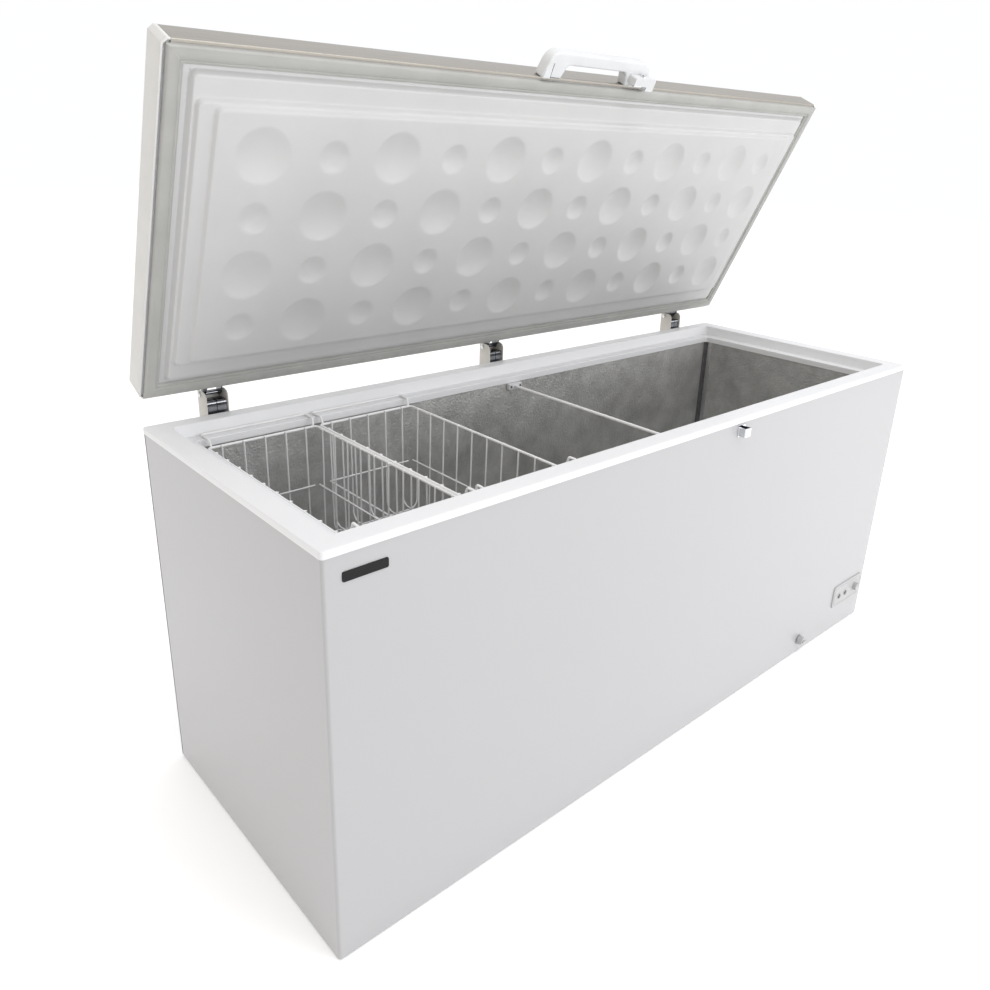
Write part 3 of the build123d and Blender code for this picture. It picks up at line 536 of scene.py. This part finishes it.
def make_liner():
    """Thermoformed sheet: two steps, and domes pressed into the flat."""
    x_edges, y_edges = [], []
    for (x0, x1, y0, y1), width, _ in LEVELS:
        x_edges += [(x0, x0 + width), (x1 - width, x1)]
        y_edges += [(y0, y0 + width), (y1 - width, y1)]
    xs = grid_lines(-EX + 0.5, EX - 0.5, x_edges)
    ys = grid_lines(LF + 6.2, LR - 6.2, y_edges)
    hollows = list(hollow_list())
    near = [[h for h in hollows if abs(h[0] - x) < h[2] / 2 + HOLLOW_MARGIN] for x in xs]
    nx, ny = len(xs), len(ys)
    points = [(x, y, LZ - liner_drop(x, y, near[i])) for i, x in enumerate(xs) for y in ys]
    starts = [i * ny + j for i in range(nx - 1) for j in range(ny - 1)]
    faces = [(k, k + 1, k + ny + 1, k + ny) for k in starts]
    # back of the sheet, flat inside the foam
    border = [i * ny for i in range(nx)] + [(nx - 1) * ny + j for j in range(1, ny)]
    border += [i * ny + ny - 1 for i in range(nx - 2, -1, -1)] + [j for j in range(ny - 2, 0, -1)]
    base = len(points)
    points += [(points[k][0], points[k][1], LZ + LINER_T) for k in border]
    n = len(border)
    faces += [(border[k], border[(k + 1) % n], base + (k + 1) % n, base + k) for k in range(n)]
    faces.append(tuple(range(base, base + n)))
    sheet = Solid()
    sheet.add(points, faces)
    piece("lid_liner_formed", sheet, "liner", "lid", ("lid_liner",), lid=True, smooth=40)


def make_gasket():
    """Vinyl bulb with a magnet channel, a bellows fold and mitred, welded corners."""
    # (inset, height, rounding) from the outer edge to the inner one
    profile = soften((
        (0.0, -0.2, 0), (0.0, -5.5, 2.2), (3.0, -9.2, 2.5), (9.0, -10.8, 3.0), (16.0, -10.2, 3.0),
        (20.5, -7.6, 1.2), (21.6, -5.4, 0.8), (23.6, -6.6, 1.0), (27.2, -4.6, 1.6), (29.0, -0.2, 0)), 4)
    y_front, y_rear = LF + SEAL_IN, LR - SEAL_IN
    rings = []
    for inset, height in profile:
        pairs = rounded(-SEAL_X + inset, SEAL_X - inset, y_front + inset, y_rear - inset, 0)
        rings.append([(a, b, LZ + height) for a, b in pairs])
    gasket = Solid()
    gasket.loft(rings, "loop")
    piece("lid_gasket_bellows", gasket, "gasket", "lid", ("lid_gasket",), lid=True, smooth=45)
    # a weld is a thin three-sided ridge down each mitre: (sideways, height) of its three lines
    welds = Solid()
    line = profile[2:-3]
    n = len(line)
    for sx in (-1, 1):
        for edge, sy in ((y_front, 1), (y_rear, -1)):
            points = []
            for side, rise in ((-0.45, -0.25), (0.45, -0.25), (0.0, 0.95)):
                points += [(sx * (SEAL_X - inset - side), edge + sy * (inset - side), LZ + height + rise)
                           for inset, height in line]
            faces = [(r * n + k, r * n + k + 1, (r + 1) % 3 * n + k + 1, (r + 1) % 3 * n + k)
                     for r in range(3) for k in range(n - 1)]
            faces += [(0, n, 2 * n), (n - 1, 3 * n - 1, 2 * n - 1)]
            welds.add(points, faces)
    piece("gasket_corner_welds", welds, "weld_line", "lid", lid=True)


def end_outline(start, reach, inset, cut):
    """Floor plan of an end profile, out to reach, with its two outer corners cut off."""
    front, rear = LF + inset, LR - inset
    return [(start, front), (reach - cut, front), (reach, front + cut),
            (reach, rear - cut), (reach - cut, rear), (start, rear)]


def make_lid_shell():
    """Folded stainless skin with rolled hems, and a moulded profile at each end."""
    hem, thick = 6.6, 0.8
    front = [(LF + hem, LZ + 0.9, 0), (LF + hem, LZ, 0.4), (LF, LZ, 1.5), (LF, TOP, 4.6)]
    rear = [(LR, TOP, 4.6), (LR, LZ, 1.5), (LR - hem, LZ, 0.4), (LR - hem, LZ + 0.9, 0)]
    outline = soften(front + rear, 7)
    inner = []
    for i, (a, b) in enumerate(outline):
        before, after = outline[max(0, i - 1)], outline[min(len(outline) - 1, i + 1)]
        along = (Vector(after) - Vector(before)).normalized()
        inner.append((a + along.y * thick, b - along.x * thick))
    skin = Solid()
    skin.strip(outline, inner, -EX, EX, end_yz, closed=False)
    piece("lid_skin_folded", skin, "stainless", "lid", ("lid_skin",), lid=True, smooth=40)
    for side, s in (("left", -1), ("right", 1)):
        outer = [(s * a, b) for a, b in end_outline(EX + 0.1, LID_END, 0.0, 8.5)]
        lip = [(s * a, b) for a, b in end_outline(EX + 0.1, LID_END - 3.4, 3.2, 6.4)]
        end = Solid()
        end.prism(outer, LZ + 4.0, TOP, flat_xy)
        piece(f"lid_end_profile_{side}", end, "end", "lid", (f"lid_end_{side}",),
              lid=True, bevel=(1.6, 3))
        edge = Solid()
        edge.strip(outer, lip, LZ, LZ + 4.2, flat_xy, closed=False)
        piece(f"lid_end_lip_{side}", edge, "end", "lid", lid=True, bevel=(0.8, 2))


def make_handle():
    """Bridge handle with a hollowed grip, end cover on the left foot and the lock housing on the right."""
    front = LF - 0.2
    outer = soften(((-172, front, 0), (-160, -404, 26), (151, -404, 26), (164, front, 0)), 7)
    inner = soften(((-118, front, 0), (-107, -379, 11), (79, -379, 11), (88, front, 0)), 7)
    low, high = LZ - 9, LZ + 18
    grip = Solid()
    grip.strip(outer, inner, low, high, flat_xy, closed=False)
    piece("handle_grip", grip, "white_part", "lid", ("lid_handle",),
          lid=True, bevel=(5.0, 4), smooth=50)
    covers = Solid()
    covers.prism([(-170.6, front), (-166.4, -366), (-150, -366), (-150, front)], low - 1.2, low + 3, flat_xy)
    covers.prism([(100, front), (100, -372), (152, -372), (157, front)], low - 1.2, low + 3, flat_xy)
    piece("handle_foot_covers", covers, "white_part", "lid", lid=True, bevel=(1.0, 3))
    seam = Solid()
    seam.box(-149.6, -148.4, -381, front - 0.4, low - 0.35, low + 2)
    seam.box(-148.4, -122, -352.6, -351.8, low - 0.3, low + 2)
    piece("handle_seams", seam, "shadow_gap", "lid", lid=True)


def make_lock():
    """Lock barrel with a keyway in its face."""
    barrel = Solid()
    profile = ((7.5, 0), (7.5, 18.6), (6.9, 19.6), (4.6, 19.8), (4.2, 19.0), (0.1, 19.0))
    barrel.turned((LOCK_X, -360.2, LOCK_Z), (0, -1, 0), profile, 40)
    piece("lock_barrel", barrel, "chrome", "lock", ("lock_cylinder",), lid=True)
    key = Solid()
    key.box(LOCK_X - 0.6, LOCK_X + 0.6, -379.7, -378.0, LOCK_Z - 3.6, LOCK_Z + 3.6)
    piece("lock_keyway", key, "shadow_gap", "lock", lid=True)


# ---------------------------------------------------------------- hinges
CHANNEL_LOW, CHANNEL_BACK, WING_TOP = 660.0, 394.0, 789.8
CAP_LOW, CAP_FLOOR, CAP_TOP = 805.0, 822.0, 835.0
CAP_FRONT, CAP_BACK, CAP_HALF = 356.0, 388.0, 21.0
SPRING_SEAT = 699.8


def hinge_channel(hx):
    """A channel with rounded ears, a seat for the spring, and a screwed wing each side."""
    channel = Solid()
    bend = [(CHANNEL_BACK - 6 + 6 * math.cos(t), 850 + 6 * math.sin(t)) for t in (0.4, 0.8, 1.2)]
    ear = [(368, 856), (358, 853), (352.5, 845), (352, 796), (BACK + 0.2, 794)]
    outline = [(BACK + 0.2, CHANNEL_LOW), (CHANNEL_BACK, CHANNEL_LOW), (CHANNEL_BACK, 850), *bend, *ear]
    for s in (-1, 1):
        a, b = sorted((hx + s * 22.6, hx + s * 25.0))
        channel.prism(outline, a, b, end_yz)
    channel.box(hx - 22.8, hx + 22.8, CHANNEL_BACK - 2.5, CHANNEL_BACK - 0.1, CHANNEL_LOW + 0.2, 849.8)
    channel.box(hx - 22.8, hx + 22.8, BACK + 2.6, CHANNEL_BACK - 2.4, SPRING_SEAT - 3.7, SPRING_SEAT)
    for s in (-1, 1):
        a, b = sorted((hx + s * 24.8, hx + s * 41.0))
        channel.box(a, b, BACK + 0.1, BACK + 2.5, CHANNEL_LOW + 0.2, WING_TOP)
    return channel


def spring_cap(hx):
    """Solid above, with a slit down its front, and a skirt that slides over the spring's end."""
    cap = Solid()
    crown = soften(((CAP_FRONT, CAP_FLOOR, 0), (CAP_FRONT, CAP_TOP, 6.5),
                    (CAP_BACK, CAP_TOP, 4.0), (CAP_BACK, CAP_FLOOR, 0)), 6)
    skirt_top = CAP_FLOOR + 0.1
    for x0, x1 in ((hx - CAP_HALF, hx - 0.8), (hx + 0.8, hx + CAP_HALF)):
        cap.prism(crown, x0, x1, end_yz)
        cap.box(x0, x1, CAP_FRONT, CAP_FRONT + 1.4, CAP_LOW, skirt_top)
    cap.box(hx - CAP_HALF, hx + CAP_HALF, CAP_BACK - 1.4, CAP_BACK, CAP_LOW, skirt_top)
    for s in (-1, 1):
        a, b = sorted((hx + s * (CAP_HALF - 1.4), hx + s * CAP_HALF))
        cap.box(a, b, CAP_FRONT + 1.3, CAP_BACK - 1.3, CAP_LOW, skirt_top)
    cap.box(hx - 1.2, hx + 1.2, CAP_FRONT + 2, CAP_BACK - 1, skirt_top, CAP_TOP - 2)
    return cap


def make_hinges():
    rivet = ((6.0, 0), (6.4, 0.5), (6.4, 1.6), (4.6, 3.1), (2.0, 3.7), (0.1, 3.8))
    for side, hx in HINGES:
        piece(f"hinge_channel_{side}", hinge_channel(hx), "hinge_white_painted_shade", "cabinet",
              (f"hinge_bracket_{side}",), bevel=(0.7, 2))
        piece(f"hinge_slider_{side}", spring_cap(hx), "chrome_in_painted_shade", "spring_caps",
              (f"hinge_cap_{side}",), smooth=50)
        pin = Solid()
        for s in (-1, 1):
            pin.turned((hx + s * 25.2, HINGE_Y, HINGE_Z), (s, 0, 0), rivet, 28)
        piece(f"hinge_rivets_{side}", pin, "chrome", "cabinet")


# ---------------------------------------------------------------- tank and cabinet details
def make_tank_seams():
    """Flat cover strip in each corner of the embossed tank, with a dark bead beside it that is painted shade
    in the corner.
    """
    seams, gaps = Solid(), Solid()
    bead = ((871.8, 271.5), (870.2, 272.0), (868.0, 277.6), (862.5, 280.4), (862.0, 281.8), (869.0, 279.0))
    floor_left, floor_right, high = 62.6, 300.6, LIP - 1
    for sx in (-1, 1):
        low = floor_right if sx > 0 else floor_left
        x0, x1 = sorted((sx * 870.8, sx * 871.9))
        for sy in (-1, 1):
            y0, y1 = sorted((sy * 257, sy * 271))
            seams.box(x0, x1, y0, y1, low, high)
            gaps.prism([(sx * a, sy * b) for a, b in bead], low, high, flat_xy)
    piece("tank_corner_strips", seams, "seam", "cabinet", bevel=(0.3, 2))
    piece("tank_corner_painted_shade", gaps, "corner_shade", "cabinet")


def screw(solid, centre, axis, radius):
    """A pan-head screw with a round recess."""
    shares = ((1.0, 0), (1.0, 0.18), (0.8, 0.42), (0.45, 0.55), (0.3, 0.35))
    profile = [(radius * across, radius * along) for across, along in shares]
    solid.turned(centre, axis, [*profile, (0.05, radius * 0.2)], 20)


def make_fixings():
    heads = Solid()
    for y in (-196, 196):
        for z in (64, 200):
            screw(heads, (949.2, y, z), (1, 0, 0), 3.2)
    piece("grille_screws", heads, "chrome", "cabinet")
    rear = Solid()
    for x in (642, 785, 928):
        for z in (24, 226):
            screw(rear, (x, BACK + 2, z), (0, 1, 0), 4.2)
    for x in range(-900, 601, 150):
        screw(rear, (x, BACK, 16), (0, 1, 0), 3.6)
    piece("rear_screws", rear, "spring", "cabinet")


def make_panel_print():
    """Raised outline and lamp rings, an arc of dots over each lamp, and growing dots round the knob."""
    mark_ring, lamp_ring = 19.5, 13.6
    outer, inner = rounded(770, 924, 84, 144, 9), rounded(771.4, 922.6, 85.4, 142.6, 8)
    trim = Solid()
    trim.strip(outer, inner, PANEL_FACE + 0.2, PANEL_FACE - 0.7, front_xz)
    for x in LAMPS:
        ring, hole = circle(x, LAMP_Z, 10.5), circle(x, LAMP_Z, 7.3)
        trim.strip(ring, hole, PANEL_FACE + 0.2, PANEL_FACE - 1.0, front_xz)
    piece("panel_raised_trim", trim, "panel", "cabinet", bevel=(0.25, 2))
    marks = Solid()
    for k in range(11):
        turn = math.radians(225 - 27 * k)
        centre = (KNOB_X + mark_ring * math.cos(turn), PANEL_FACE + 0.1, KNOB_Z + mark_ring * math.sin(turn))
        radius = 0.7 + 0.11 * k
        marks.turned(centre, (0, -1, 0), ((radius, 0), (radius, 0.25), (0.05, 0.25)), 16)
    for x in LAMPS:
        for k in range(9):
            turn = math.radians(20 + 14 * k)
            centre = (x + lamp_ring * math.cos(turn), PANEL_FACE + 0.1, LAMP_Z + lamp_ring * math.sin(turn))
            marks.turned(centre, (0, -1, 0), ((0.7, 0), (0.7, 0.2), (0.05, 0.2)), 12)
    piece("panel_scale_marks", marks, "print_grey", "cabinet")


def make_weld_dots():
    """Small weld beads under the coating where the basket wires meet their rings."""
    bead = ((0.3, -3.2), (2.3, -2.0), (2.7, 0), (2.1, 1.3), (0.3, 1.9))
    high, deep, pitch_x, pitch_y = 769.8, 260.2, 47.6, 50.4
    for side, x0, x1 in BASKETS:
        beads = Solid()
        middle, half = (x0 + x1) / 2, (x1 - x0) / 2 - 2.3
        spots = [(middle + (i - 2) * pitch_x, sy * deep) for i in range(5) for sy in (-1, 1)]
        spots += [(middle + sx * half, (i - 4.5) * pitch_y) for i in range(10) for sx in (-1, 1)]
        for x, y in spots:
            beads.turned((x, y, high), (0, 0, 1), bead, 12)
        piece(f"basket_{side}_welds", beads, "wire", f"basket_{side}", smooth=60)


# ---------------------------------------------------------------- stage and light
def area_light(name, spot, aim, size, watts, colour):
    data = bpy.data.lights.new(name, "AREA")
    data.shape, data.size, data.energy, data.color = "SQUARE", size, watts, colour
    light = bpy.data.objects.new(name, data)
    turn = (Vector(aim) - Vector(spot)).to_track_quat("-Z", "Y").to_matrix()
    light.matrix_world = Matrix.Translation(spot) @ turn.to_4x4()
    bpy.context.scene.collection.objects.link(light)


def make_floor():
    bpy.ops.mesh.primitive_plane_add(size=40.0, location=(0, 0, -0.0005))
    floor = bpy.context.object
    floor.name = "floor"
    ground = Maker("floor_pale")
    ground.colour((0.90, 0.90, 0.90), (0.93, 0.93, 0.93), ground.noise(1.5))
    ground.rough(ground.span(ground.noise(3.0), 0.7, 0.9))
    ground.shader.inputs["Emission Color"].default_value = (1.0, 1.0, 1.0, 1.0)
    ground.shader.inputs["Emission Strength"].default_value = 0.24
    floor.data.materials.append(ground.mat)


def make_world():
    """White behind the object, warm on the left, dimmer at the front where the area lights take over."""
    world = bpy.data.worlds.new("studio")
    bpy.context.scene.world = world
    world.use_nodes = True
    nodes, links = world.node_tree.nodes, world.node_tree.links
    back = nodes["Background"]
    split = nodes.new("ShaderNodeSeparateXYZ")
    links.new(nodes.new("ShaderNodeTexCoord").outputs["Generated"], split.inputs["Vector"])

    def smooth_range(axis, numbers):
        node = nodes.new("ShaderNodeMapRange")
        node.interpolation_type = "SMOOTHSTEP"
        for socket, number in numbers.items():
            node.inputs[socket].default_value = number
        links.new(split.outputs[axis], node.inputs["Value"])
        return node.outputs["Result"]

    tint = nodes.new("ShaderNodeMix")
    tint.data_type = "RGBA"
    tint.inputs[MIX_FIRST].default_value = (0.84, 0.785, 0.70, 1.0)
    tint.inputs[MIX_SECOND].default_value = (0.995, 1.0, 1.02, 1.0)
    links.new(smooth_range("X", {"From Min": -0.95, "From Max": -0.15}), tint.inputs[0])
    links.new(tint.outputs[MIX_RESULT], back.inputs["Color"])
    strength = {"From Min": -0.75, "From Max": -0.15, "To Min": 0.74, "To Max": 1.0}
    links.new(smooth_range("Y", strength), back.inputs["Strength"])


def make_stage():
    bpy.context.scene.view_settings.view_transform = "Standard"
    make_floor()
    make_world()
    area_light("top", (-0.3, -1.2, 4.4), (0.0, -0.1, 0.8), 2.6, 55.0, (1.0, 0.995, 0.98))
    area_light("front", (1.4, -4.6, 1.3), (0.2, 0.0, 0.8), 2.2, 70.0, (1.0, 1.0, 1.0))
    area_light("side", (4.2, -2.8, 1.9), (0.5, 0.0, 0.9), 1.8, 26.0, (1.0, 1.0, 1.0))


make_camera()
MATS = make_materials()
dress_cad_nodes(MATS)
for build in (make_rim, make_liner, make_gasket, make_lid_shell, make_handle, make_lock, make_hinges,
              make_tank_seams, make_fixings, make_panel_print, make_weld_dots):
    build()
make_stage()
